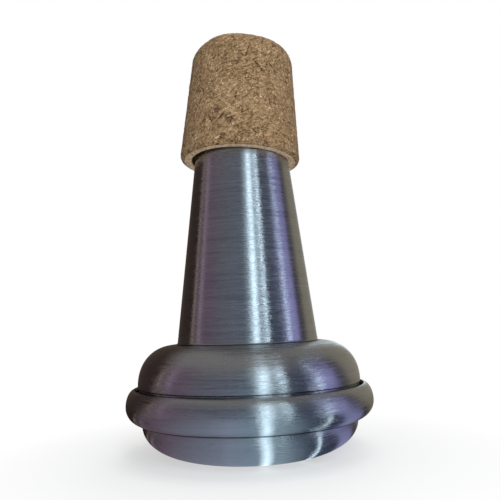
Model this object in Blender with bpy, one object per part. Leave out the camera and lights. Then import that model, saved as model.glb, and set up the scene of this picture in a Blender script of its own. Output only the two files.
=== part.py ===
"""Bell mute for a suona: a spun aluminium pot and cone with a cork collar that wedges in the bell.

The mute stands on its flat underside at the origin, with its axis on +Z and the cork at the top.
Sizes are in metres.
"""

import math

import bmesh
import bpy
from mathutils import Matrix, Vector

MM = 0.001

# Sheet and fits
WALL = 0.8 * MM
SEAT_GAP = 0.3 * MM
ROUND_STEPS = 48

# Base cup: bowl, flat underside and rolled bead
VENT_RADIUS = 4.0 * MM
UNDERSIDE_RADIUS = 12.4 * MM
BOWL_DEPTH = 9.6 * MM
BOWL_FULLNESS = 2.3
BEAD_BULGE = 3.3 * MM
BEAD_LOWER_HEIGHT = 4.3 * MM
BEAD_UPPER_HEIGHT = 4.5 * MM
CREASE_STEP = 1.0 * MM
SEAM_GAP = 0.9 * MM

# Body shell: skirt, shoulder and cone
SKIRT_RADIUS = 30.7 * MM
SKIRT_SHOWING = 0.5 * MM
SHOULDER_HEIGHT = 11.1 * MM
SHOULDER_FULLNESS = 2.2
CONE_FOOT_RADIUS = 19.7 * MM
CONE_MOUTH_RADIUS = 9.6 * MM
CONE_HEIGHT = 85.0 * MM
CONE_FILLET_RADIUS = 0.8 * MM

# Cork collar and the cement that holds it
CORK_LENGTH = 34.3 * MM
CORK_OVERHANG = 1.0 * MM
CORK_LOWER_WALL = 2.85 * MM
CORK_UPPER_WALL = 4.6 * MM
CORK_TOP_ROUNDING = 4.0 * MM
CORK_TOP_DROP = 5.2 * MM
CORK_FOOT_ROUNDING = 1.2 * MM
CORK_LEAN = math.radians(3.1)
CORK_LEAN_BACK = math.radians(3.8)
CORK_SHIFT = -0.5 * MM
CORK_PILOT_RADIUS = 4.0 * MM
BORE_RUN_OUT = 11.0 * MM
CORK_FILM = 0.3 * MM
CORK_FILM_SETBACK = 2.5 * MM

# Felt ring on the floor of the pot
FELT_THICKNESS = 3.0 * MM
FELT_SETBACK = 2.0 * MM

# Smoothness of the turned profiles
ELLIPSE = 2.0
FILLET_STEPS = 3
SHOULDER_STEPS = 9
BEAD_STEPS = 5
BOWL_STEPS = 10
CORK_TOP_STEPS = 6
CORK_FOOT_STEPS = 3
MITRE_LIMIT = 0.5
MERGE_DISTANCE = 0.0001 * MM
SHARP_ANGLE = math.radians(35)

# Heights and radii that follow from the sizes above
CREASE_RADIUS = SKIRT_RADIUS - CREASE_STEP
CREASE_Z = BOWL_DEPTH
BEAD_RADIUS = SKIRT_RADIUS + BEAD_BULGE
BEAD_WIDEST_Z = CREASE_Z + BEAD_LOWER_HEIGHT
LIP_RADIUS = SKIRT_RADIUS + SEAM_GAP
LIP_Z = BEAD_WIDEST_Z + BEAD_UPPER_HEIGHT
SHOULDER_FOOT_Z = LIP_Z + SKIRT_SHOWING
SHOULDER_TOP_Z = SHOULDER_FOOT_Z + SHOULDER_HEIGHT
MOUTH_Z = SHOULDER_TOP_Z + CONE_HEIGHT
CORK_TOP_Z = MOUTH_Z + CORK_OVERHANG
CORK_FOOT_Z = CORK_TOP_Z - CORK_LENGTH
CONE_SLOPE = (CONE_MOUTH_RADIUS - CONE_FOOT_RADIUS) / CONE_HEIGHT


def clear_scene():
    for old in list(bpy.data.objects):
        bpy.data.objects.remove(old, do_unlink=True)


def finish(name, colour, roughness, metallic):
    """One Principled material with a plain colour."""
    material = bpy.data.materials.new(name)
    material.use_nodes = True
    shader = material.node_tree.nodes["Principled BSDF"]
    shader.inputs["Base Color"].default_value = (*colour, 1.0)
    shader.inputs["Roughness"].default_value = roughness
    shader.inputs["Metallic"].default_value = metallic
    return material


def oval_quarter(centre_r, centre_z, reach_r, reach_z, fullness, steps):
    """Points of a quarter superellipse, from the end of its axial reach to the end of its radial one.

    A fullness of 2 is an ellipse, and more than 2 is squarer.
    """
    points = []
    for step in range(steps + 1):
        angle = math.pi / 2 * (1 - step / steps)
        across = max(math.cos(angle), 0.0) ** (2 / fullness)
        along = max(math.sin(angle), 0.0) ** (2 / fullness)
        points.append((centre_r + reach_r * across, centre_z + reach_z * along))
    return points


def offset_inwards(points, distance):
    """The line that runs beside a profile, on the side of the axis where the profile runs down.

    An outer profile followed from top to bottom is moved into its own wall.
    """
    moved = []
    for index, point in enumerate(points):
        here = Vector(point)
        directions = []
        if index > 0:
            directions.append((here - Vector(points[index - 1])).normalized())
        if index < len(points) - 1:
            directions.append((Vector(points[index + 1]) - here).normalized())
        normals = [Vector((d.y, -d.x)) for d in directions]
        mean = sum(normals, Vector((0.0, 0.0))).normalized()
        stretch = 1 / max(mean.dot(normals[0]), MITRE_LIMIT)
        moved.append(tuple(here + mean * distance * stretch))
    return moved


def turned(name, profile, material):
    """Turn a closed profile of (radius, height) points about Z into a solid ring."""
    shape = bmesh.new()
    verts = [shape.verts.new((radius, 0.0, height)) for radius, height in profile]
    edges = []
    for index, vert in enumerate(verts):
        edges.append(shape.edges.new((vert, verts[(index + 1) % len(verts)])))
    bmesh.ops.spin(
        shape,
        geom=verts + edges,
        cent=(0.0, 0.0, 0.0),
        axis=(0.0, 0.0, 1.0),
        angle=2 * math.pi,
        steps=ROUND_STEPS,
        use_merge=True,
    )
    bmesh.ops.remove_doubles(shape, verts=shape.verts, dist=MERGE_DISTANCE)
    bmesh.ops.recalc_face_normals(shape, faces=shape.faces)
    mesh = bpy.data.meshes.new(name)
    shape.to_mesh(mesh)
    shape.free()
    mesh.shade_smooth()
    mesh.set_sharp_from_angle(angle=SHARP_ANGLE)
    piece = bpy.data.objects.new(name, mesh)
    piece.data.materials.append(material)
    bpy.context.collection.objects.link(piece)
    return piece


def cone_radius(height):
    """Outer radius of the cone's straight side at a height above the underside."""
    return CONE_FOOT_RADIUS + CONE_SLOPE * (height - SHOULDER_TOP_Z)


def cone_fillet():
    """Points of the hollow fillet where the cone runs out onto the shoulder, from top to bottom."""
    normal = Vector((1.0, -CONE_SLOPE)).normalized()
    centre_z = SHOULDER_TOP_Z + CONE_FILLET_RADIUS
    touch_z = centre_z - normal.y * CONE_FILLET_RADIUS
    centre_r = cone_radius(touch_z) + normal.x * CONE_FILLET_RADIUS
    start = math.atan2(-normal.y, -normal.x) % (2 * math.pi)
    points = []
    for step in range(FILLET_STEPS + 1):
        angle = start + (1.5 * math.pi - start) * step / FILLET_STEPS
        points.append((
            centre_r + CONE_FILLET_RADIUS * math.cos(angle),
            centre_z + CONE_FILLET_RADIUS * math.sin(angle),
        ))
    return points


def bead_inner_z(radius):
    """Height of the bead's inner floor at a radius outside the crease."""
    reach_r = BEAD_RADIUS - CREASE_RADIUS - WALL
    reach_z = BEAD_LOWER_HEIGHT - WALL
    share = min(max((radius - CREASE_RADIUS) / reach_r, 0.0), 1.0)
    return BEAD_WIDEST_Z - reach_z * math.sqrt(1 - share ** 2)


def make_body_shell():
    """Cone, fillet, shoulder and skirt in one sheet; the skirt stands on the ledge in the bead."""
    fillet = cone_fillet()
    shoulder_start = fillet[-1][0]
    shoulder = oval_quarter(
        shoulder_start,
        SHOULDER_FOOT_Z,
        SKIRT_RADIUS - shoulder_start,
        SHOULDER_HEIGHT,
        SHOULDER_FULLNESS,
        SHOULDER_STEPS,
    )
    skirt_foot = (SKIRT_RADIUS, bead_inner_z(SKIRT_RADIUS) + SEAT_GAP)
    outer = [(cone_radius(MOUTH_Z), MOUTH_Z)] + fillet + shoulder[1:] + [skirt_foot]
    inner = offset_inwards(outer, WALL)
    side_wall = WALL * math.sqrt(1 + CONE_SLOPE ** 2)
    inner[0] = (cone_radius(MOUTH_Z) - side_wall, MOUTH_Z)
    metal = finish("spun_aluminium", (0.42, 0.43, 0.47), 0.32, 1.0)
    return turned("body_shell", outer + inner[::-1], metal)


def bead_outline(inset):
    """The bead's outer line from its lip to the crease, drawn in by an inset."""
    upper = oval_quarter(
        LIP_RADIUS,
        BEAD_WIDEST_Z,
        BEAD_RADIUS - LIP_RADIUS - inset,
        BEAD_UPPER_HEIGHT - inset,
        ELLIPSE,
        BEAD_STEPS,
    )
    lower = oval_quarter(
        CREASE_RADIUS,
        BEAD_WIDEST_Z,
        BEAD_RADIUS - CREASE_RADIUS - inset,
        inset - BEAD_LOWER_HEIGHT,
        ELLIPSE,
        BEAD_STEPS,
    )
    return upper + lower[-2::-1]


def make_base_cup():
    """Bowl with a flat vented underside, whose rim is rolled out into a bead."""
    bowl = oval_quarter(
        UNDERSIDE_RADIUS,
        CREASE_Z,
        CREASE_RADIUS - UNDERSIDE_RADIUS,
        -BOWL_DEPTH,
        BOWL_FULLNESS,
        BOWL_STEPS,
    )
    outer = bead_outline(0.0) + bowl[-2::-1] + [(VENT_RADIUS, 0.0)]
    inner = offset_inwards(outer, WALL)
    metal = finish("spun_aluminium_base", (0.40, 0.41, 0.46), 0.34, 1.0)
    return turned("base_cup", outer + inner[::-1], metal)


def make_seam_cement():
    """Cured cement in the bead's hollow, which holds and seals the skirt in the cup."""
    inner_radius = SKIRT_RADIUS + SEAT_GAP
    hollow = bead_outline(WALL + SEAT_GAP)
    kept = [point for point in hollow if point[0] > inner_radius + SEAT_GAP]
    foot_z = bead_inner_z(inner_radius) + 2 * SEAT_GAP
    profile = [(inner_radius, kept[0][1])] + kept + [(inner_radius, foot_z)]
    resin = finish("seam_resin", (0.30, 0.29, 0.26), 0.6, 0.0)
    return turned("seam_cement", profile, resin)


def make_cork_collar():
    """Bored cork ring, its outside turned slightly out of line with its bore."""
    bore_gap = 2 * SEAT_GAP + CORK_FILM
    foot_radius = cone_radius(CORK_FOOT_Z) + bore_gap + CORK_LOWER_WALL
    top_radius = cone_radius(CORK_TOP_Z) + bore_gap + CORK_UPPER_WALL
    top_edge = oval_quarter(
        top_radius - CORK_TOP_ROUNDING,
        CORK_LENGTH - CORK_TOP_DROP,
        CORK_TOP_ROUNDING,
        CORK_TOP_DROP,
        ELLIPSE,
        CORK_TOP_STEPS,
    )
    foot_edge = oval_quarter(
        foot_radius - CORK_FOOT_ROUNDING,
        CORK_FOOT_ROUNDING,
        CORK_FOOT_ROUNDING,
        -CORK_FOOT_ROUNDING,
        ELLIPSE,
        CORK_FOOT_STEPS,
    )
    profile = [(CORK_PILOT_RADIUS, CORK_LENGTH)] + top_edge + foot_edge[::-1] + [(CORK_PILOT_RADIUS, 0.0)]
    bark = finish("agglomerated_cork", (0.33, 0.22, 0.14), 0.9, 0.0)
    collar = turned("cork_collar", profile, bark)
    lean = Matrix.Rotation(-CORK_LEAN_BACK, 4, "X") @ Matrix.Rotation(CORK_LEAN, 4, "Y")
    collar.data.transform(Matrix.Translation((CORK_SHIFT, 0.0, CORK_FOOT_Z)) @ lean)
    cut_with(collar, make_bore_cutter(bore_gap))
    return collar


def make_bore_cutter(bore_gap):
    """Tapered plug in line with the cone, longer than the cork at both ends."""
    low = CORK_FOOT_Z - BORE_RUN_OUT
    high = CORK_TOP_Z + BORE_RUN_OUT
    shape = bmesh.new()
    bmesh.ops.create_cone(
        shape,
        cap_ends=True,
        segments=ROUND_STEPS,
        radius1=cone_radius(low) + bore_gap,
        radius2=cone_radius(high) + bore_gap,
        depth=high - low,
        matrix=Matrix.Translation((0.0, 0.0, (low + high) / 2)),
    )
    mesh = bpy.data.meshes.new("cork_bore_cutter")
    shape.to_mesh(mesh)
    shape.free()
    cutter = bpy.data.objects.new("cork_bore_cutter", mesh)
    bpy.context.collection.objects.link(cutter)
    cutter.hide_render = True
    cutter.display_type = "WIRE"
    return cutter


def cut_with(piece, cutter):
    cut = piece.modifiers.new("bore", "BOOLEAN")
    cut.operation = "DIFFERENCE"
    cut.solver = "EXACT"
    cut.object = cutter


def make_cork_cement():
    """Film of contact cement between the cone and the cork."""
    low = CORK_FOOT_Z + CORK_FILM_SETBACK
    high = MOUTH_Z - CORK_FILM_SETBACK
    inside = SEAT_GAP
    outside = SEAT_GAP + CORK_FILM
    profile = [
        (cone_radius(high) + outside, high),
        (cone_radius(low) + outside, low),
        (cone_radius(low) + inside, low),
        (cone_radius(high) + inside, high),
    ]
    glue = finish("contact_cement", (0.34, 0.25, 0.12), 0.5, 0.0)
    return turned("cork_cement", profile, glue)


def make_damping_felt():
    """Felt ring on the pot's flat floor, round the vent."""
    low = WALL + SEAT_GAP
    high = low + FELT_THICKNESS
    inside = VENT_RADIUS + FELT_SETBACK
    profile = [
        (UNDERSIDE_RADIUS, high),
        (UNDERSIDE_RADIUS, low),
        (inside, low),
        (inside, high),
    ]
    felt = finish("grey_felt", (0.16, 0.16, 0.17), 0.95, 0.0)
    return turned("damping_felt", profile, felt)


clear_scene()
make_body_shell()
make_base_cup()
make_seam_cement()
make_cork_collar()
make_cork_cement()
make_damping_felt()
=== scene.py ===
"""A suona mute as photographed: spun aluminium pot and cone, rolled bead, and a crooked cork collar.

Metres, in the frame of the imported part: the underside at z = 0, the axis on +Z, the photographed
side towards -Y.
"""

import math

import bpy
import numpy as np
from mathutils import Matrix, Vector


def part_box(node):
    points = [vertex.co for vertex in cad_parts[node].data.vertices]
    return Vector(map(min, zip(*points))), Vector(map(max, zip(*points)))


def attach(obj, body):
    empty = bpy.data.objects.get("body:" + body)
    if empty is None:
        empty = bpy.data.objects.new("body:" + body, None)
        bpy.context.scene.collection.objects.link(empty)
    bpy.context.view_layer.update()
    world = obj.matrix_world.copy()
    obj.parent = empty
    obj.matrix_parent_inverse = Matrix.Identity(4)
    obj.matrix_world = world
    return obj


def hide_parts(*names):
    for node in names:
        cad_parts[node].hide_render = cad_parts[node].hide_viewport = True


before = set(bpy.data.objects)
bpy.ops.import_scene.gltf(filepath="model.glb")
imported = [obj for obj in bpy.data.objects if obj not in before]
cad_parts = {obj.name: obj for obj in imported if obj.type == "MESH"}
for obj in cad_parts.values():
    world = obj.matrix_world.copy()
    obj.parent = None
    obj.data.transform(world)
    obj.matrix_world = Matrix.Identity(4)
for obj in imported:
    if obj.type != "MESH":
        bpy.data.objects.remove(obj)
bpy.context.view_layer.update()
MM = 0.001

# Camera. It stands close to the mute, about level with the seam, and looks up a little, which is
# why the cork looks small against the bead. Its place comes from a fit to the photographed rims.
EYE_DISTANCE = 174.0 * MM
EYE_HEIGHT = 36.5 * MM
EYE_TURN = math.radians(-0.51)
EYE_LOOK_UP = math.radians(6.44)
EYE_ROLL = math.radians(2.01)
EYE_NEAREST = 10.0 * MM
FOCAL_PIXELS = 610
PHOTO_PIXELS = 500
SENSOR = 36.0


def turn(axis, angle):
    """Rotation matrix by an angle about the x (0), y (1) or z (2) axis."""
    c, s = math.cos(angle), math.sin(angle)
    a, b = [(1, 2), (2, 0), (0, 1)][axis]
    matrix = np.eye(3)
    matrix[a, a] = c
    matrix[b, b] = c
    matrix[a, b] = -s
    matrix[b, a] = s
    return matrix


look = turn(2, EYE_TURN) @ turn(0, EYE_LOOK_UP) @ turn(1, EYE_ROLL)
pose = np.eye(4)
pose[:3, 0] = look[:, 0]
pose[:3, 1] = look[:, 2]
pose[:3, 2] = -look[:, 1]
pose[:3, 3] = (0.0, -EYE_DISTANCE, EYE_HEIGHT)
lens = bpy.data.cameras.new("camera")
lens.sensor_width = SENSOR
lens.lens = SENSOR * FOCAL_PIXELS / PHOTO_PIXELS
lens.clip_start = EYE_NEAREST
eye = bpy.data.objects.new("camera", lens)
bpy.context.collection.objects.link(eye)
eye.matrix_world = pose.T.tolist()
bpy.context.scene.camera = eye


# Body shell. Cone, shoulder and skirt are one aluminium blank, spun over a form on a lathe, which
# leaves fine lines round the axis. A small hollow fillet joins the cone to the shoulder, and the
# skirt drops into the bead of the base cup.
SHEET = 0.8 * MM
CONE_FOOT_RADIUS = 19.7 * MM
CONE_MOUTH_RADIUS = 9.6 * MM
CONE_HEIGHT = 85.0 * MM
FILLET = 0.8 * MM
SHOULDER_HEIGHT = 11.1 * MM
SHOULDER_FULLNESS = 2.2
ROLL_UNDER = 0.4 * MM
ROLL_RISE = 0.24 * MM
ROLL_END = -80.0
NECK_STEP = 0.32 * MM
shell_low, shell_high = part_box("body_shell")
SKIRT_RADIUS = shell_high[0]
NECK_RADIUS = SKIRT_RADIUS - NECK_STEP
MOUTH_Z = shell_high[2]
SHOULDER_TOP_Z = MOUTH_Z - CONE_HEIGHT
CONE_SLOPE = (CONE_MOUTH_RADIUS - CONE_FOOT_RADIUS) / CONE_HEIGHT

# Points round the axis and along each stretch of the shell's profile
AROUND = 360
CONE_POINTS = 24
FILLET_POINTS = 12
SHOULDER_POINTS = 60
ROLL_POINTS = 10
SKIRT_POINTS = 12
SHARP_ANGLE = math.radians(50)


def cone_radius(height):
    """Straight taper: the foot's radius plus the slope times the height above the shoulder."""
    return CONE_FOOT_RADIUS + CONE_SLOPE * (height - SHOULDER_TOP_Z)


def straight(start, end, count):
    """Points on the straight line from start to end, without the end."""
    share = np.linspace(0.0, 1.0, count, endpoint=False)[:, None]
    return np.array(start) * (1 - share) + np.array(end) * share


def arc(centre, radius, first, last, count):
    """Points on a circle: the centre plus the radius times cosine and sine of the angle."""
    angle = np.radians(np.linspace(first, last, count))
    return np.array(centre) + radius * np.stack([np.cos(angle), np.sin(angle)], 1)


def oval_quarter(centre, reach, fullness, count):
    """Quarter superellipse from its axial end to its radial end.

    The radius is the reach times cosine to the power 2 over the fullness, the height likewise
    with the sine. A fullness of 2 is an ellipse.
    """
    angle = np.linspace(math.pi / 2, 0.0, count)
    across = np.clip(np.cos(angle), 0, 1) ** (2 / fullness)
    along = np.clip(np.sin(angle), 0, 1) ** (2 / fullness)
    return np.array(centre) + np.stack([reach[0] * across, reach[1] * along], 1)


def drawn_in(line, distance):
    """The line beside a profile: each point moves along the mean normal of its two neighbours."""
    along = np.gradient(line, axis=0)
    along /= np.linalg.norm(along, axis=1, keepdims=True)
    return line + distance * np.stack([along[:, 1], -along[:, 0]], 1)


def ring_quads(around, count, closed=True):
    """Faces of a grid that closes round the axis and, where closed, also along its profile."""
    i, j = np.meshgrid(np.arange(around), np.arange(count if closed else count - 1), indexing="ij")
    i2, j2 = (i + 1) % around, (j + 1) % count
    quads = np.stack([i * count + j, i * count + j2, i2 * count + j2, i2 * count + j], -1)
    return quads.reshape(-1, 4)


def grid_piece(name, points, quads, values):
    """A smooth mesh object from point and quad arrays, with one float attribute for each value."""
    mesh = bpy.data.meshes.new(name)
    mesh.vertices.add(len(points))
    mesh.vertices.foreach_set("co", points.ravel())
    mesh.loops.add(quads.size)
    mesh.loops.foreach_set("vertex_index", quads.ravel())
    mesh.polygons.add(len(quads))
    mesh.polygons.foreach_set("loop_start", np.arange(0, quads.size, 4))
    mesh.update(calc_edges=True)
    for key, data in values.items():
        layer = mesh.attributes.new(key, "FLOAT", "POINT")
        layer.data.foreach_set("value", np.asarray(data, dtype=np.float32).ravel())
    mesh.shade_smooth()
    mesh.set_sharp_from_angle(angle=SHARP_ANGLE)
    piece = bpy.data.objects.new(name, mesh)
    bpy.context.collection.objects.link(piece)
    return piece


def turned(name, profile, around=AROUND):
    """Turn a closed profile about Z: x = r cos a, y = r sin a, z = h, over a grid of both.

    Each vertex keeps its distance along the profile in the attribute run, for the lathe lines.
    """
    angle = np.linspace(0.0, 2 * math.pi, around, endpoint=False)
    radius, height = profile[:, 0], profile[:, 1]
    points = np.stack([
        np.outer(np.cos(angle), radius),
        np.outer(np.sin(angle), radius),
        np.outer(np.ones(around), height),
    ], -1).reshape(-1, 3)
    steps = np.linalg.norm(np.diff(profile, axis=0), axis=1)
    run = np.concatenate([[0.0], np.cumsum(steps)])
    quads = ring_quads(around, len(profile))
    return grid_piece(name, points, quads, {"run": np.tile(run, around)})


class Signal:
    """A shader socket that can be used in sums: each operator adds its Math node."""

    def __init__(self, finish, socket):
        self.finish = finish
        self.socket = socket

    def _math(self, operation, first, second):
        return self.finish.node("ShaderNodeMath", {"operation": operation}, first, second)

    def __add__(self, other):
        return self._math("ADD", self, other)

    def __radd__(self, other):
        return self._math("ADD", other, self)

    def __sub__(self, other):
        return self._math("SUBTRACT", self, other)

    def __rsub__(self, other):
        return self._math("SUBTRACT", other, self)

    def __mul__(self, other):
        return self._math("MULTIPLY", self, other)

    def __truediv__(self, other):
        return self._math("DIVIDE", self, other)

    def __pow__(self, other):
        return self._math("POWER", self, other)

    def at_least(self, other):
        return self._math("MAXIMUM", self, other)

    def absolute(self):
        return self._math("ABSOLUTE", self, 0.0)

    def clamp(self):
        return self.finish.node("ShaderNodeClamp", {}, self)


class Finish:
    """A material under construction, with one method for every node it needs."""

    def __init__(self, name):
        self.material = bpy.data.materials.new(name)
        self.material.use_nodes = True
        self.tree = self.material.node_tree
        self.shader = self.tree.nodes["Principled BSDF"]

    def plug(self, socket, value):
        if isinstance(value, Signal):
            self.tree.links.new(value.socket, socket)
        else:
            socket.default_value = value

    def node(self, kind, settings, *values, out=0, **named):
        """Add a node: its settings first, then its sockets by order or by name.

        The stops of a ramp are a list of place and colour.
        """
        made = self.tree.nodes.new(kind)
        for key, value in settings.items():
            if key == "stops":
                ramp = made.color_ramp
                ramp.elements.remove(ramp.elements[1])
                ramp.elements[0].position = value[0][0]
                ramp.elements[0].color = (*value[0][1], 1.0)
                for place, colour in value[1:]:
                    ramp.elements.new(place).color = (*colour, 1.0)
            else:
                setattr(made, key, value)
        for index, value in enumerate(values):
            self.plug(made.inputs[index], value)
        for key, value in named.items():
            self.plug(made.inputs[key.replace("_", " ")], value)
        return Signal(self, made.outputs[out])

    def set(self, **sockets):
        for key, value in sockets.items():
            self.plug(self.shader.inputs[key.replace("_", " ")], value)

    def surface(self, signal):
        """Make a shader signal what the material or the world shows."""
        output = next(node for node in self.tree.nodes if "Output" in node.bl_idname)
        self.plug(output.inputs["Surface"], signal)

    def own_shader(self):
        return Signal(self, self.shader.outputs[0])

    def object_point(self):
        return self.node("ShaderNodeTexCoord", {}, out="Object")

    def object_xyz(self):
        point = self.object_point()
        return [self.node("ShaderNodeSeparateXYZ", {}, point, out=axis) for axis in "XYZ"]

    def attribute(self, name):
        return self.node("ShaderNodeAttribute", {"attribute_name": name}, out="Fac")

    def noise(self, where, scale, detail, roughness=0.5, out=0):
        return self.node(
            "ShaderNodeTexNoise", {}, where, Scale=scale, Detail=detail, Roughness=roughness, out=out)


# Lathe lines: how often they change round the axis and along the profile, per metre, and the detail
FINE_LINES = (420.0, 4600.0, 3.0)
BROAD_LINES = (60.0, 2100.0, 4.0)
BANDS = (9.0, 420.0, 2.0)
CHATTER = (1300.0, 3200.0, 3.0)
LINE_BREAKUP = 0.6
NOISE_MIDDLE = 0.5

# Shares of each in the tone, in the roughness and in the relief of the metal
BROAD_TONE = 0.75
FINE_TONE = 0.45
BAND_TONE = 0.30
CLOUD_TONE = 0.30
CLOUD_SCALE = 60.0
STAIN_SCALE = 230.0
STAIN_START = 0.62
STAIN_SLOPE = 6.0
STAIN_TONE = 0.12
# Width and depth of the painted shade in the crease, and how much rougher the crease is
CREASE_SHADE_WIDTH = 0.45 * MM
CREASE_SHADE_TONE = 0.8
BROAD_WEAR = 0.6
FINE_WEAR = 0.25
CLOUD_WEAR = 0.15
CREASE_ROUGHENING = 0.3
SMOOTHEST = 0.17
GROOVE_DEPTH = 0.04 * MM
FINE_GROOVE = 0.5
BROAD_GROOVE = 0.4
CHATTER_GROOVE = 0.6
ROUND_THE_AXIS = 0.25
SPUN_GREY = (0.43, 0.44, 0.46)
SHELL_ROUGHNESS = 0.25


def spun_metal(name, roughness, crease_run):
    """Satin aluminium: lines round the axis, from noise that is long round it and very short
    along the profile, with faint cloudy staining, and a dark line of painted shade in the crease."""
    metal = Finish(name)
    point = metal.object_point()
    x, y, _ = metal.object_xyz()
    run = metal.attribute("run")

    def lines(round_scale, run_scale, detail):
        where = metal.node("ShaderNodeCombineXYZ", {}, x * round_scale, y * round_scale, run * run_scale)
        return metal.noise(where, 1.0, detail, LINE_BREAKUP)

    fine = lines(*FINE_LINES)
    broad = lines(*BROAD_LINES)
    bands = lines(*BANDS) - NOISE_MIDDLE
    chatter = lines(*CHATTER)
    fine_swing = fine - NOISE_MIDDLE
    broad_swing = broad - NOISE_MIDDLE
    cloud = metal.noise(point, CLOUD_SCALE, 4.0, 0.55) - NOISE_MIDDLE
    stain = ((metal.noise(point, STAIN_SCALE, 3.0, 0.6) - STAIN_START) * STAIN_SLOPE).clamp()
    # Painted shade: a dark line along the crease where the cone meets the shoulder, or the bead meets the
    # bowl. The line is also a little rougher.
    crease_shade = (1.0 - ((run - crease_run) / CREASE_SHADE_WIDTH) ** 2.0).clamp()
    shade = 1.0 + broad_swing * BROAD_TONE + fine_swing * FINE_TONE + bands * BAND_TONE + cloud * CLOUD_TONE
    shade = (shade - stain * STAIN_TONE) * (1.0 - crease_shade * CREASE_SHADE_TONE)
    tint = metal.node("ShaderNodeCombineColor", {}, *[shade * channel for channel in SPUN_GREY])
    wear = broad_swing * BROAD_WEAR + fine_swing * FINE_WEAR + cloud * CLOUD_WEAR + crease_shade * CREASE_ROUGHENING
    relief = fine * FINE_GROOVE + broad * BROAD_GROOVE + chatter * CHATTER_GROOVE
    metal.set(
        Base_Color=tint,
        Metallic=1.0,
        Roughness=(roughness + wear).at_least(SMOOTHEST),
        Normal=metal.node("ShaderNodeBump", {}, Strength=1.0, Distance=GROOVE_DEPTH, Height=relief),
        Anisotropic=1.0,
        Anisotropic_Rotation=ROUND_THE_AXIS,
    )
    return metal.material


fillet_normal = np.array([1.0, -CONE_SLOPE]) / math.hypot(1.0, CONE_SLOPE)
fillet_touch_z = SHOULDER_TOP_Z + FILLET * (1 - fillet_normal[1])
fillet_centre = np.array([cone_radius(fillet_touch_z), fillet_touch_z]) + fillet_normal * FILLET
fillet_start = math.degrees(math.atan2(-fillet_normal[1], -fillet_normal[0])) % 360
fillet = arc(fillet_centre, FILLET, fillet_start, 270.0, FILLET_POINTS)
shoulder_start = fillet[-1, 0]
shoulder_foot_z = SHOULDER_TOP_Z - SHOULDER_HEIGHT
roll_z = shoulder_foot_z + ROLL_RISE
shoulder = oval_quarter(
    (shoulder_start, shoulder_foot_z),
    (SKIRT_RADIUS - shoulder_start, SHOULDER_HEIGHT),
    SHOULDER_FULLNESS,
    SHOULDER_POINTS,
)
shell_outer = np.vstack([
    straight((cone_radius(MOUTH_Z), MOUTH_Z), fillet[0], CONE_POINTS),
    fillet[:-1],
    shoulder[shoulder[:, 1] > roll_z],
    arc((SKIRT_RADIUS - ROLL_UNDER, roll_z), ROLL_UNDER, 0.0, ROLL_END, ROLL_POINTS),
    straight((NECK_RADIUS, roll_z - ROLL_UNDER), (NECK_RADIUS, shell_low[2]), SKIRT_POINTS),
    [(NECK_RADIUS, shell_low[2])],
])
shell_inner = drawn_in(shell_outer, SHEET)
shell_inner[0] = (cone_radius(MOUTH_Z) - SHEET, MOUTH_Z)
shell = turned("spun_body", np.vstack([shell_outer, shell_inner[::-1]]))
cone_foot_run = math.dist(shell_outer[0], fillet[0]) + FILLET
shell.data.materials.append(spun_metal("spun_aluminium", SHELL_ROUGHNESS, cone_foot_run))
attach(shell, "root")
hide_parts("body_shell")


# Base cup. A second aluminium blank is spun to a shallow bowl and its rim rolled out into a hollow
# bead, which takes the skirt. The lip of the bead stays open by under a millimetre. The underside
# is flat, with one vent hole.
BOWL_RADIUS = 29.7 * MM
BOWL_DEPTH = 9.6 * MM
BOWL_FULLNESS = 2.3
UNDERSIDE_RADIUS = 12.4 * MM
VENT_RADIUS = 4.0 * MM
LIP_RADIUS = 31.6 * MM
BEAD_LOWER_HEIGHT = 4.3 * MM
ELLIPSE = 2.0
BEAD_POINTS = 24
BOWL_POINTS = 48
UNDERSIDE_POINTS = 6
CUP_ROUGHNESS = 0.27
cup_low, cup_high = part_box("base_cup")
BEAD_RADIUS = cup_high[0]
LIP_Z = cup_high[2]
BEAD_WIDEST_Z = BOWL_DEPTH + BEAD_LOWER_HEIGHT
bead_upper = oval_quarter(
    (LIP_RADIUS, BEAD_WIDEST_Z),
    (BEAD_RADIUS - LIP_RADIUS, LIP_Z - BEAD_WIDEST_Z),
    ELLIPSE,
    BEAD_POINTS,
)
bead_lower = oval_quarter(
    (BOWL_RADIUS, BEAD_WIDEST_Z),
    (BEAD_RADIUS - BOWL_RADIUS, -BEAD_LOWER_HEIGHT),
    ELLIPSE,
    BEAD_POINTS,
)[::-1]
bowl = oval_quarter(
    (UNDERSIDE_RADIUS, BOWL_DEPTH),
    (BOWL_RADIUS - UNDERSIDE_RADIUS, -BOWL_DEPTH),
    BOWL_FULLNESS,
    BOWL_POINTS,
)[::-1]
cup_outer = np.vstack([
    bead_upper,
    bead_lower[1:-1],
    bowl,
    straight((UNDERSIDE_RADIUS, cup_low[2]), (VENT_RADIUS, cup_low[2]), UNDERSIDE_POINTS)[1:],
    [(VENT_RADIUS, cup_low[2])],
])
cup_inner = drawn_in(cup_outer, SHEET)
cup_inner[-1] = (VENT_RADIUS, cup_low[2] + SHEET)
cup = turned("spun_base", np.vstack([cup_outer, cup_inner[::-1]]))
bead_steps = np.diff(np.vstack([bead_upper, bead_lower[1:]]), axis=0)
bead_run = float(np.linalg.norm(bead_steps, axis=1).sum())
cup.data.materials.append(spun_metal("spun_aluminium_base", CUP_ROUGHNESS, bead_run))
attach(cup, "root")
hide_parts("base_cup")


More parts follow.
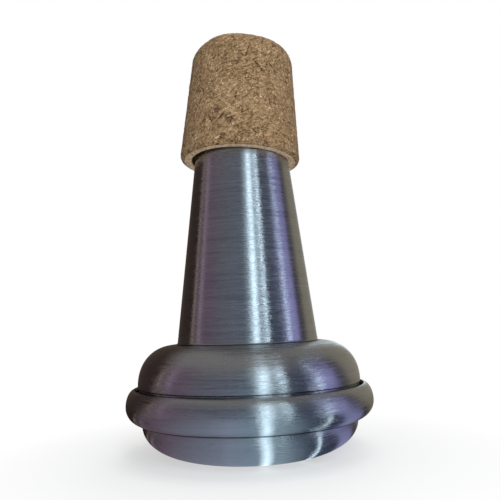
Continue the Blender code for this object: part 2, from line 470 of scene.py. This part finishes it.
# Cork collar. Shredded cork is pressed with a binder into a block, bored and turned to a taper.
# The shreds lie every way, with dark bark among them, and small gaps open where one tore out.
# The outside was turned a few degrees out of line with the bore.
CORK_FOOT_RADIUS = 17.3 * MM
CORK_TOP_RADIUS = 15.0 * MM
CORK_LENGTH = 34.3 * MM
CORK_TOP_ROUNDING = 4.0 * MM
CORK_TOP_DROP = 5.2 * MM
CORK_FOOT_ROUNDING = 1.2 * MM
CORK_LEAN = math.radians(3.1)
CORK_LEAN_BACK = math.radians(3.8)
CORK_SHIFT = -0.5 * MM
CORK_OVERHANG = 1.0 * MM
CORK_TOP_Z = MOUTH_Z + CORK_OVERHANG
CORK_FOOT_Z = CORK_TOP_Z - CORK_LENGTH
BORE_GAP = 0.50 * MM
MOUTH_SLIP = 0.42 * MM
MOUTH_SLIP_HEIGHT = 8.0 * MM

# Rows of the collar's grid
CORK_AROUND = 440
CORK_TOP_POINTS = 22
CORK_WALL_POINTS = 132
CORK_FOOT_POINTS = 9
BORE_ROWS = 20
FOOT_ROWS = 14
TOP_ROWS = 6

# Shreds: the spread of lengths is a gamma law in millimetres, a tone of 0 is bark and of 1 is pale
SHREDS = 14000
SHRED_SEED = 71
SHRED_LENGTHS = (4.0, 0.22)
SHRED_SHORTEST = 0.4 * MM
SHRED_SLIMNESS = (0.12, 0.26)
SHRED_NARROWEST = 0.12 * MM
SHRED_TONES = (0.54, 0.12)
SHRED_DARKEST = 0.05
SHRED_BOW = 0.5
SHRED_POINT = 2.6
SHRED_SIDE = 2.4
BARK_SHARE = 0.04
BARK_TONES = (0.05, 0.22)
BED_TONE = 0.35
# Painted light and shade: how much lighter one side of a shred is than the other
SHRED_SIDE_LIGHT = 0.09
RIM_START = 0.55
RIM_TONE = 0.3
RIM_DROP = 1.2

# Gaps where a shred tore out
SHREDS_PER_GAP = 45
GAP_LENGTHS = (3.0, 0.28)
GAP_SHORTEST = 0.25 * MM
GAP_BREADTHS = (0.10, 0.26)
GAP_FLOOR = 1.3
GAP_SIDE = 1.5

# Relief of the painted sheet
SHRED_RELIEF = 0.030 * MM
GAP_DEPTH = 0.20 * MM
SANDED_OFF = 0.06 * MM
EDGE_HOLD = 0.6 * MM
SPARE_SHEET = 2.0 * MM


def cork_line():
    """Outer line from the bore's top edge over the rounded top, down the wall and under the foot."""
    top = oval_quarter(
        (CORK_TOP_RADIUS - CORK_TOP_ROUNDING, CORK_LENGTH - CORK_TOP_DROP),
        (CORK_TOP_ROUNDING, CORK_TOP_DROP),
        ELLIPSE,
        CORK_TOP_POINTS,
    )
    foot = oval_quarter(
        (CORK_FOOT_RADIUS - CORK_FOOT_ROUNDING, CORK_FOOT_ROUNDING),
        (CORK_FOOT_ROUNDING, -CORK_FOOT_ROUNDING),
        ELLIPSE,
        CORK_FOOT_POINTS,
    )[::-1]
    wall = straight(top[-1], foot[0], CORK_WALL_POINTS)[1:]
    return np.vstack([top, wall, foot])


def patch_of_sheet(rows, step, length, breadth, angle, cx, cy):
    """Cells of the sheet that one sliver can touch, and where each lies in the sliver.

    The place along it and across it is the offset from its middle, turned by its angle, and
    divided by its half length and half breadth.
    """
    reach = int(math.ceil(length / step)) + 1
    col = np.arange(int(cx / step) - reach, int(cx / step) + reach + 1)
    row = np.arange(max(0, int(cy / step) - reach), min(rows, int(cy / step) + reach + 1))
    dx = col[None, :] * step - cx
    dy = row[:, None] * step - cy
    along = (dx * math.cos(angle) + dy * math.sin(angle)) / length
    across = (-dx * math.sin(angle) + dy * math.cos(angle)) / breadth
    return np.ix_(row, col % CORK_AROUND), along, across


def lay_shreds(width, height, count, seed):
    """Paint shreds one over another on a sheet that wraps round in x, all sizes in metres.

    Each shred is a long superellipse with its own direction, tone and level. A later one hides an
    earlier one, and the rim of each is a little darker, so the edges read as joints. One side of each
    shred is painted lighter and the other darker, as painted light and shade on a raised shred.
    """
    rng = np.random.default_rng(seed)
    step = width / CORK_AROUND
    rows = int(round(height / step))
    tone = np.full((rows, CORK_AROUND), BED_TONE)
    level = np.zeros((rows, CORK_AROUND))
    gap = np.zeros((rows, CORK_AROUND))
    for _ in range(count):
        length = rng.gamma(*SHRED_LENGTHS) * MM + SHRED_SHORTEST
        breadth = length * rng.uniform(*SHRED_SLIMNESS) + SHRED_NARROWEST
        angle = rng.uniform(0, math.pi)
        cx = rng.uniform(0, width)
        cy = rng.uniform(0, height)
        shade = np.clip(rng.normal(*SHRED_TONES), SHRED_DARKEST, 1.0)
        if rng.random() < BARK_SHARE:
            shade = rng.uniform(*BARK_TONES)
        lift = rng.normal(0.0, 1.0)
        place, along, across = patch_of_sheet(rows, step, length, breadth, angle, cx, cy)
        bend = across + SHRED_BOW * rng.uniform(-1, 1) * along ** 2
        size = np.abs(along) ** SHRED_POINT + np.abs(bend) ** SHRED_SIDE
        inside = size < 1.0
        rim = np.clip((size - RIM_START) / (1 - RIM_START), 0, 1)
        # The bend term paints one side of the shred lighter and the other darker: painted light and shade.
        tone[place] = np.where(inside, shade * (1 - RIM_TONE * rim) + SHRED_SIDE_LIGHT * bend, tone[place])
        level[place] = np.where(inside, lift - RIM_DROP * rim, level[place])
    for _ in range(count // SHREDS_PER_GAP):
        length = rng.gamma(*GAP_LENGTHS) * MM + GAP_SHORTEST
        breadth = rng.uniform(*GAP_BREADTHS) * MM
        angle = rng.uniform(0, math.pi)
        cx = rng.uniform(0, width)
        cy = rng.uniform(0, height)
        place, along, across = patch_of_sheet(rows, step, length, breadth, angle, cx, cy)
        hole = np.clip(GAP_FLOOR - along ** 2 - np.abs(across) ** GAP_SIDE, 0, 1)
        gap[place] = np.maximum(gap[place], hole)
    return tone, level, gap


cork_outer = cork_line()
cork_steps = np.linalg.norm(np.diff(cork_outer, axis=0), axis=1)
cork_run = np.concatenate([[0.0], np.cumsum(cork_steps)])
girth = 2 * math.pi * (CORK_FOOT_RADIUS + CORK_TOP_RADIUS) / 2
painted = lay_shreds(girth, cork_run[-1] + SPARE_SHEET, SHREDS, SHRED_SEED)
row_of = cork_run / (girth / CORK_AROUND)
row_low = row_of.astype(int)
row_share = (row_of - row_low)[:, None]


def at_rows(sheet):
    """Read a painted sheet along the collar's profile, blending neighbouring rows."""
    return (sheet[row_low] * (1 - row_share) + sheet[row_low + 1] * row_share).T


tone, level, gap = [at_rows(sheet) for sheet in painted]
cork_along = np.gradient(cork_outer, axis=0)
cork_along /= np.linalg.norm(cork_along, axis=1, keepdims=True)
cork_out = np.stack([-cork_along[:, 1], cork_along[:, 0]], 1)
edge_hold = np.clip(np.minimum(cork_run, cork_run[-1] - cork_run) / EDGE_HOLD, 0, 1)
push = (level * SHRED_RELIEF - gap * GAP_DEPTH - SANDED_OFF) * edge_hold
radius = cork_outer[:, 0] + push * cork_out[:, 0]
height = cork_outer[:, 1] + push * cork_out[:, 1]
around = np.linspace(0, 2 * math.pi, CORK_AROUND, endpoint=False)[:, None]
lean = turn(0, -CORK_LEAN_BACK) @ turn(1, CORK_LEAN)
outside = np.stack([radius * np.cos(around), radius * np.sin(around), height], -1) @ lean.T
outside += (CORK_SHIFT, 0.0, CORK_FOOT_Z)

# The bore follows the cone, and its two ends lie in the leaning planes of the foot and the top
bore_line = CORK_FOOT_Z + np.linspace(0, 1, BORE_ROWS) * CORK_LENGTH
bore_radius = cone_radius(bore_line) + BORE_GAP
lean_lift = -(lean[0, 2] * np.cos(around) + lean[1, 2] * np.sin(around)) * bore_radius / lean[2, 2]
slip = -MOUTH_SLIP * np.clip(1 - (bore_line - CORK_FOOT_Z) / MOUTH_SLIP_HEIGHT, 0, 1)
bore = np.stack([
    bore_radius * np.cos(around) + slip,
    bore_radius * np.sin(around),
    bore_line + lean_lift,
], -1)


def face_between(edge, other, rows):
    """Rows of points on the straight way from one ring of points to another, without both ends."""
    share = np.linspace(0, 1, rows + 2)[1:-1, None]
    return edge[:, None] * (1 - share) + other[:, None] * share


foot_face = face_between(outside[:, -1], bore[:, 0], FOOT_ROWS)
top_face = face_between(bore[:, -1], outside[:, 0], TOP_ROWS)
collar_points = np.concatenate([outside, foot_face, bore, top_face], 1)


def padded_out(sheet, foot, bore_wall, top):
    """A value over the painted outside, and plain values on the foot, in the bore and on the top."""
    extra = np.repeat([foot, bore_wall, top], [FOOT_ROWS, BORE_ROWS, TOP_ROWS])
    return np.concatenate([sheet, np.tile(extra, (CORK_AROUND, 1))], 1)


# Painted light: the foot's downward end face is made much lighter than the bore. This stands in for light
# bounced up from the floor.
FOOT_TONE_PAINTED_LIGHT = 2.2
BORE_TONE = 1.0
TOP_TONE = 1.1
collar = grid_piece(
    "cork_ring",
    collar_points.reshape(-1, 3),
    ring_quads(CORK_AROUND, collar_points.shape[1]),
    {"tone": padded_out(tone, FOOT_TONE_PAINTED_LIGHT, BORE_TONE, TOP_TONE), "gap": padded_out(gap, 0.0, 0.0, 0.0)},
)

# Fine slivers in the finish, over the painted shreds
CHIP_SWAY = 0.9 * MM
CHIP_SWAY_SCALE = 1100.0
BED_CHIP = (1.3 * MM, 0.4 * MM)
TOP_CHIP = (1.4 * MM, 0.36 * MM)
BED_CHIP_LIE = (0.3, 0.2, 0.1)
TOP_CHIP_LIES = [(0.2, 1.1, 0.5), (0.1, -0.9, -0.6), (0.5, 0.3, 1.3), (-0.3, -0.35, 0.2)]
CHIP_HIDDEN_SHARE = 0.62
GRAIN_SCALE = 2600.0
PATCH_SCALE = 240.0
SHRED_IN_TONE = 0.30
CHIP_IN_TONE = 0.62
GRAIN_IN_TONE = 0.45
PATCH_IN_TONE = 0.30
GAP_PAINTED_SHADE = 0.45
TONE_LIFT = 0.02
CORK_GRAIN_DEPTH = 0.12 * MM
cork = Finish("pressed_cork")
point = cork.object_point()
grain = cork.noise(point, GRAIN_SCALE, 3.0, 0.6)
patch = cork.noise(point, PATCH_SCALE, 3.0)
sway = cork.noise(point, CHIP_SWAY_SCALE, 1.0, out="Color")
bent = cork.node("ShaderNodeVectorMath", {"operation": "MULTIPLY_ADD"}, sway, (CHIP_SWAY,) * 3, point)


def chips(length, breadth, lie):
    """Slivers that all lie one way: stretched cells, each with a tone and a chance to be on top."""
    where = cork.node(
        "ShaderNodeMapping",
        {"vector_type": "TEXTURE"},
        bent,
        Rotation=lie,
        Scale=(length, breadth, breadth),
    )
    cell = cork.node("ShaderNodeTexVoronoi", {}, where, Scale=1.0, out="Color")
    return [cork.node("ShaderNodeSeparateColor", {}, cell, out=channel) for channel in ("Red", "Green")]


chip_tone, _ = chips(*BED_CHIP, BED_CHIP_LIE)
for chip_lie in TOP_CHIP_LIES:
    shade, chance = chips(*TOP_CHIP, chip_lie)
    on_top = cork.node("ShaderNodeMath", {"operation": "GREATER_THAN"}, chance, CHIP_HIDDEN_SHARE)
    chip_tone = chip_tone + on_top * (shade - chip_tone)
mixed = cork.attribute("tone") * SHRED_IN_TONE + chip_tone * CHIP_IN_TONE
mixed = mixed + (grain - NOISE_MIDDLE) * GRAIN_IN_TONE + (patch - NOISE_MIDDLE) * PATCH_IN_TONE
# The gaps are painted darker as well as sunk: painted shade in the recesses.
mixed = (mixed - cork.attribute("gap") * GAP_PAINTED_SHADE + TONE_LIFT).clamp()
cork.set(
    Base_Color=cork.node("ShaderNodeValToRGB", {"stops": [
        (0.0, (0.045, 0.022, 0.010)),
        (0.22, (0.130, 0.070, 0.032)),
        (0.48, (0.262, 0.154, 0.076)),
        (0.75, (0.400, 0.252, 0.136)),
        (1.0, (0.780, 0.570, 0.370)),
    ]}, mixed),
    Roughness=0.88,
    Specular_IOR_Level=0.3,
    Normal=cork.node(
        "ShaderNodeBump", {}, Strength=0.6, Distance=CORK_GRAIN_DEPTH, Height=grain * 0.5 + mixed * 0.6),
)
collar.data.materials.append(cork.material)
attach(collar, "root")
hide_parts("cork_collar")


# Damping felt. A ring punched from pressed grey felt lies on the pot's floor round the vent. Its
# cut edges are a little soft.
FELT_HOLE_RADIUS = 6.0 * MM
FELT_EDGE = 0.5 * MM
FELT_AROUND = 180
FELT_EDGE_POINTS = 6
FIBRE_SCALE = 1800.0
FELT_GRAIN_DEPTH = 0.2 * MM
felt_low, felt_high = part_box("damping_felt")
felt_sides = (FELT_HOLE_RADIUS + FELT_EDGE, felt_high[0] - FELT_EDGE)
felt_faces = (felt_low[2] + FELT_EDGE, felt_high[2] - FELT_EDGE)
felt_profile = np.vstack([
    arc((felt_sides[1], felt_faces[1]), FELT_EDGE, 90, 0, FELT_EDGE_POINTS),
    arc((felt_sides[1], felt_faces[0]), FELT_EDGE, 0, -90, FELT_EDGE_POINTS),
    arc((felt_sides[0], felt_faces[0]), FELT_EDGE, 270, 180, FELT_EDGE_POINTS),
    arc((felt_sides[0], felt_faces[1]), FELT_EDGE, 180, 90, FELT_EDGE_POINTS),
])
felt = turned("felt_ring", felt_profile, FELT_AROUND)
wool = Finish("pressed_felt")
fibre = wool.noise(wool.object_point(), FIBRE_SCALE, 5.0, 0.7)
wool.set(
    Base_Color=wool.node("ShaderNodeValToRGB", {"stops": [
        (0.3, (0.10, 0.10, 0.105)),
        (0.7, (0.22, 0.22, 0.23)),
    ]}, fibre),
    Roughness=0.95,
    Sheen_Weight=0.4,
    Normal=wool.node("ShaderNodeBump", {}, Strength=0.8, Distance=FELT_GRAIN_DEPTH, Height=fibre),
)
felt.data.materials.append(wool.material)
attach(felt, "root")
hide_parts("damping_felt")


# Seam resin. A grey resin is run into the bead's hollow, where it holds and seals the skirt. It
# cures a little below the lip. Its near-black tones are painted shade, so the seam shows as a dark line.
RESIN_CLEARANCE = 0.3 * MM
RESIN_AROUND = 240
SWIRL_SCALE = 400.0
resin_inner = SKIRT_RADIUS + RESIN_CLEARANCE
resin_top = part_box("seam_cement")[1][2] - RESIN_CLEARANCE
hollow = drawn_in(np.vstack([bead_upper, bead_lower[1:-1]]), SHEET + RESIN_CLEARANCE)
hollow = hollow[(hollow[:, 0] > resin_inner + RESIN_CLEARANCE) & (hollow[:, 1] < resin_top)]
resin_ring = turned("resin_ring", np.vstack([
    [(resin_inner, hollow[0, 1])],
    hollow,
    [(resin_inner, hollow[-1, 1])],
]), RESIN_AROUND)


def resin_finish(name, dark, light):
    """Two tones of a cured resin, mixed by soft noise."""
    resin = Finish(name)
    swirl = resin.noise(resin.object_point(), SWIRL_SCALE, 3.0)
    resin.set(
        Base_Color=resin.node("ShaderNodeValToRGB", {"stops": [(0.3, dark), (0.7, light)]}, swirl),
        Roughness=0.45,
    )
    return resin.material


# Near-black resin: painted shade for the seam gap under the lip.
resin_ring.data.materials.append(resin_finish("seam_shade_resin", (0.05, 0.05, 0.045), (0.10, 0.10, 0.09)))
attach(resin_ring, "root")
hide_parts("seam_cement")


# Contact cement. It dries to an amber film under the cork, which no view shows, so the film keeps
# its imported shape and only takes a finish.
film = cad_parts["cork_cement"]
film.data.materials.clear()
film.data.materials.append(resin_finish("amber_cement", (0.22, 0.14, 0.05), (0.38, 0.27, 0.12)))


# Floor. A sheet of matt white paper, which keeps the mute's soft shadow near its foot and goes
# over into the white surround further out.
FLOOR_RADIUS = 2.0
SHADOW_RADIUS = 35.0 * MM
SHADOW_FADE = 40.0 * MM
NEAR_WHITE = 0.55
WHITE = (1.0, 1.0, 1.0, 1.0)
floor_mesh = bpy.data.meshes.new("floor")
corners = [(-1, -1), (1, -1), (1, 1), (-1, 1)]
floor_mesh.from_pydata([(x * FLOOR_RADIUS, y * FLOOR_RADIUS, 0.0) for x, y in corners], [], [(0, 1, 2, 3)])
floor = bpy.data.objects.new("floor", floor_mesh)
bpy.context.collection.objects.link(floor)


def seen_directly(finish):
    """1 for what the camera, gloss and glass see, and 0 for the light that falls on things."""
    rays = finish.tree.nodes.new("ShaderNodeLightPath").outputs
    camera, gloss, glass = [
        Signal(finish, rays[kind]) for kind in ("Is Camera Ray", "Is Glossy Ray", "Is Transmission Ray")]
    return (camera + gloss + glass).clamp()


paper = Finish("white_paper")
paper.set(Base_Color=(0.9, 0.9, 0.9, 1.0), Roughness=0.9, Specular_IOR_Level=0.0)
px, py, _ = paper.object_xyz()
far = (((px * px + py * py) ** 0.5 - SHADOW_RADIUS) / SHADOW_FADE).clamp()
whiteness = (NEAR_WHITE + far * (1 - NEAR_WHITE)) * seen_directly(paper)
glow = paper.node("ShaderNodeEmission", {}, WHITE)
paper.surface(paper.node("ShaderNodeMixShader", {}, whiteness, paper.own_shader(), glow))
floor_mesh.materials.append(paper.material)


# Lamps. A tall cool lamp stands behind the camera on its right, a weaker warm one behind the mute
# and a soft one overhead. They light the cork and the floor, and the metal doesn't mirror them.
LAMP_AIM = (0.0, 0.0, 55.0 * MM)
COOL = (0.84, 0.98, 1.0)
WARM = (1.0, 0.98, 0.95)


def soft_lamp(name, place, size, power, colour):
    """A rectangular area lamp that faces the middle of the mute."""
    lamp = bpy.data.lights.new(name, "AREA")
    lamp.shape = "RECTANGLE"
    lamp.size, lamp.size_y = size
    lamp.energy = power
    lamp.color = colour
    holder = bpy.data.objects.new(name, lamp)
    bpy.context.collection.objects.link(holder)
    aim = np.array(LAMP_AIM) - np.array(place)
    aim /= np.linalg.norm(aim)
    side = np.cross(aim, (0.0, 0.0, 1.0))
    side /= np.linalg.norm(side)
    matrix = np.eye(4)
    matrix[:3, 0] = side
    matrix[:3, 1] = np.cross(side, aim)
    matrix[:3, 2] = -aim
    matrix[:3, 3] = place
    holder.matrix_world = matrix.T.tolist()
    holder.visible_glossy = False


soft_lamp("key_lamp", place=(0.12, -0.50, 0.24), size=(0.11, 0.46), power=1.9, colour=COOL)
soft_lamp("back_lamp", place=(0.15, 0.60, 0.30), size=(0.40, 0.40), power=1.3, colour=WARM)
soft_lamp("top_lamp", place=(0.10, -0.15, 0.75), size=(0.50, 0.50), power=2.0, colour=WARM)


# Reflection cards. A dome of dim coloured cards stands round the mute, seen only in the metal. Its
# foot runs in over the floor almost to the mute, so that the bowl mirrors it too.
DOME_RADIUS = 0.8
DOME_AROUND = 96
DOME_ROWS = 24
DOME_LOWEST = -0.12
DOME_TOP_HOLE = 0.02
FLOOR_CARD_REACHES = [19.0 * MM, 50.0 * MM, 120.0 * MM]
FLOOR_CARD_HEIGHTS = [0.2 * MM, 0.5 * MM, 1.0 * MM]

# Colours round the dome, by the share of a turn: 0 is behind the mute, 0.25 on the left, 0.5 towards
# the camera and 0.75 on the right. They are brown, plum, slate, violet and olive.
CARDS = [
    (0.00, (0.10, 0.075, 0.06)),
    (0.12, (0.06, 0.042, 0.036)),
    (0.212, (0.05, 0.035, 0.03)),
    (0.220, (0.85, 0.66, 0.60)),
    (0.228, (0.14, 0.10, 0.10)),
    (0.240, (0.12, 0.09, 0.10)),
    (0.25, (0.22, 0.16, 0.21)),
    (0.262, (0.60, 0.44, 0.56)),
    (0.275, (0.19, 0.14, 0.19)),
    (0.33, (0.20, 0.15, 0.20)),
    (0.37, (0.17, 0.17, 0.21)),
    (0.46, (0.16, 0.185, 0.24)),
    (0.505, (0.12, 0.17, 0.22)),
    (0.55, (0.20, 0.28, 0.33)),
    (0.61, (0.10, 0.13, 0.19)),
    (0.670, (0.11, 0.12, 0.20)),
    (0.690, (0.67, 0.73, 1.16)),
    (0.715, (0.66, 0.67, 1.22)),
    (0.752, (0.53, 0.50, 0.96)),
    (0.766, (0.09, 0.085, 0.13)),
    (0.796, (0.11, 0.10, 0.11)),
    (0.822, (0.36, 0.33, 0.26)),
    (0.93, (0.34, 0.31, 0.25)),
    (1.00, (0.10, 0.075, 0.06)),
]
OVERHEAD_CARD = (0.33, 0.32, 0.30, 1.0)
OVERHEAD_ROWS = (0.55, 4.0)

# Bright strips: the direction of the middle in degrees, 0 towards the camera and 90 on the right,
# then the half width and the soft edge. Rows say where a strip starts or ends up the dome, as a
# level from 0 at the floor to 1 at the top, and how sharply.
STRIP_COLOUR = (0.78, 0.98, 1.08)
KEY_STRIP = (14.5, 3.6, 4.0)
KEY_GLOW = 3.4
KEY_HALO = (17.0, 16.0, 5.0)
KEY_HALO_ROWS = (0.32, 8.0)
KEY_HALO_GLOW = 0.9
LINE_STRIP = (32.0, 0.8, 0.6)
LINE_GLOW = 8.5
SLIT_STRIP = (70.0, 1.2, 1.0)
SLIT_LOW_ROWS = (0.22, 10.0)
SLIT_HIGH_ROWS = (0.45, 8.0)
SLIT_HIGH_SHARE = 0.5
SLIT_GLOW = 7.0
BACK_STRIP = (166.0, 4.0, 8.0)
BACK_GLOW = 0.9

# The strips on the floor card. The line fans out by an angle as it leaves the mute.
FLOOR_ROWS = (0.0075, 1000.0)
FLOOR_KEY_STRIP = (9.0, 2.4, 5.0)
FLOOR_KEY_GLOW = 2.1
FLOOR_HALO_STRIP = (9.0, 14.0, 26.0)
FLOOR_HALO_GLOW = 0.22
FLOOR_LINE_MIDDLE = 41.0
FLOOR_LINE_HALF = 0.9
FLOOR_LINE_SOFT = 0.8
FLOOR_LINE_GLOW = 3.0
FAN_START = 24.0 * MM
FAN_LENGTH = 30.0 * MM
FAN_ANGLE = 13.0

# The floor card is brighter towards the camera than round the sides, and the violet card is dimmer
# higher up
FLOOR_LIFT = 1.35
FLOOR_LIFT_MIDDLE = 0.46
FLOOR_LIFT_SLOPE = 7.0
FLOOR_LIFT_LEAST = -0.45
VIOLET_STRIP = (78.0, 14.0, 8.0)
VIOLET_FADE_ROWS = (0.20, 6.0)
VIOLET_FADE = 0.5

azimuth = np.linspace(0, 2 * math.pi, DOME_AROUND, endpoint=False)[:, None]
rise = np.linspace(DOME_LOWEST, 0.5 * math.pi - DOME_TOP_HOLE, DOME_ROWS)[len(FLOOR_CARD_REACHES):]
dome_reach = np.concatenate([FLOOR_CARD_REACHES, DOME_RADIUS * np.cos(rise)])
dome_height = np.concatenate([FLOOR_CARD_HEIGHTS, DOME_RADIUS * np.sin(rise)])
card_points = np.stack([
    np.cos(azimuth) * dome_reach,
    np.sin(azimuth) * dome_reach,
    np.broadcast_to(dome_height, (DOME_AROUND, DOME_ROWS)),
], -1).reshape(-1, 3)
dome = grid_piece("reflection_cards", card_points, ring_quads(DOME_AROUND, DOME_ROWS, closed=False), {})
card = Finish("coloured_cards")
dx, dy, dz = card.object_xyz()
side = card.node("ShaderNodeMath", {"operation": "ARCTAN2"}, dx, dy * -1.0) / (2 * math.pi) + 0.5
level_up = dz / DOME_RADIUS


def above(start, slope):
    """0 in the lower part of the dome, rising to 1 from a level on."""
    return ((level_up - start) * slope).clamp()


def below(end, slope):
    """1 in the lower part of the dome, falling to 0 up to a level."""
    return ((end - level_up) * slope).clamp()


def strip(middle, half, soft):
    """A bright strip between two directions: 1 inside, falling to 0 over the soft edge."""
    away = (side - (0.5 + middle / 360)).absolute()
    return ((half / 360 - away) / (soft / 360) + 0.5).clamp()


overhead = above(*OVERHEAD_ROWS)
on_floor = below(*FLOOR_ROWS)
slit_rows = below(*SLIT_LOW_ROWS) + above(*SLIT_HIGH_ROWS) * SLIT_HIGH_SHARE
strips = (
    strip(*KEY_STRIP) * KEY_GLOW
    + strip(*KEY_HALO) * above(*KEY_HALO_ROWS) * KEY_HALO_GLOW
    + strip(*LINE_STRIP) * LINE_GLOW
    + strip(*SLIT_STRIP) * slit_rows * SLIT_GLOW
    + strip(*BACK_STRIP) * BACK_GLOW
) * (1.0 - overhead)
fan = (((dx * dx + dy * dy) ** 0.5 - FAN_START) / FAN_LENGTH).clamp() * FAN_ANGLE
floor_strips = (
    strip(*FLOOR_KEY_STRIP) * FLOOR_KEY_GLOW
    + strip(*FLOOR_HALO_STRIP) * FLOOR_HALO_GLOW
    + strip(fan + FLOOR_LINE_MIDDLE, FLOOR_LINE_HALF, FLOOR_LINE_SOFT) * FLOOR_LINE_GLOW
)
strips = strips + on_floor * (floor_strips - strips)
floor_lift = (1.0 - (side - FLOOR_LIFT_MIDDLE).absolute() * FLOOR_LIFT_SLOPE) * FLOOR_LIFT
violet_fade = strip(*VIOLET_STRIP) * above(*VIOLET_FADE_ROWS) * VIOLET_FADE
brightness = 1.0 + on_floor * floor_lift.at_least(FLOOR_LIFT_LEAST) - violet_fade
ramp = card.node("ShaderNodeValToRGB", {"stops": CARDS}, side)
tinted = card.node("ShaderNodeMixRGB", {"blend_type": "MIX"}, overhead, ramp, OVERHEAD_CARD)
card_colour = card.node("ShaderNodeVectorMath", {"operation": "SCALE"}, tinted, Scale=brightness)
strip_colour = card.node("ShaderNodeVectorMath", {"operation": "SCALE"}, STRIP_COLOUR, Scale=strips)
both = card.node("ShaderNodeVectorMath", {"operation": "ADD"}, card_colour, strip_colour)
card.surface(card.node("ShaderNodeEmission", {}, both))
dome.data.materials.append(card.material)
dome.visible_camera = False
dome.visible_diffuse = False
dome.visible_shadow = False


# Surround. White to the camera and in gloss and glass, so that the mute stands alone. The light it
# sheds on the mute is that of a soft grey sky.
SKY_LIGHT = (0.30, 0.30, 0.30, 1.0)


class Sky(Finish):
    """The world's shader under construction."""

    def __init__(self, name):
        self.world = bpy.data.worlds.new(name)
        self.world.use_nodes = True
        self.tree = self.world.node_tree
        self.shader = self.tree.nodes["Background"]


sky = Sky("studio")
sky.set(Color=SKY_LIGHT, Strength=1.0)
white = sky.node("ShaderNodeBackground", {}, WHITE)
sky.surface(sky.node("ShaderNodeMixShader", {}, seen_directly(sky), sky.own_shader(), white))
bpy.context.scene.world = sky.world
bpy.context.scene.view_settings.view_transform = "Standard"
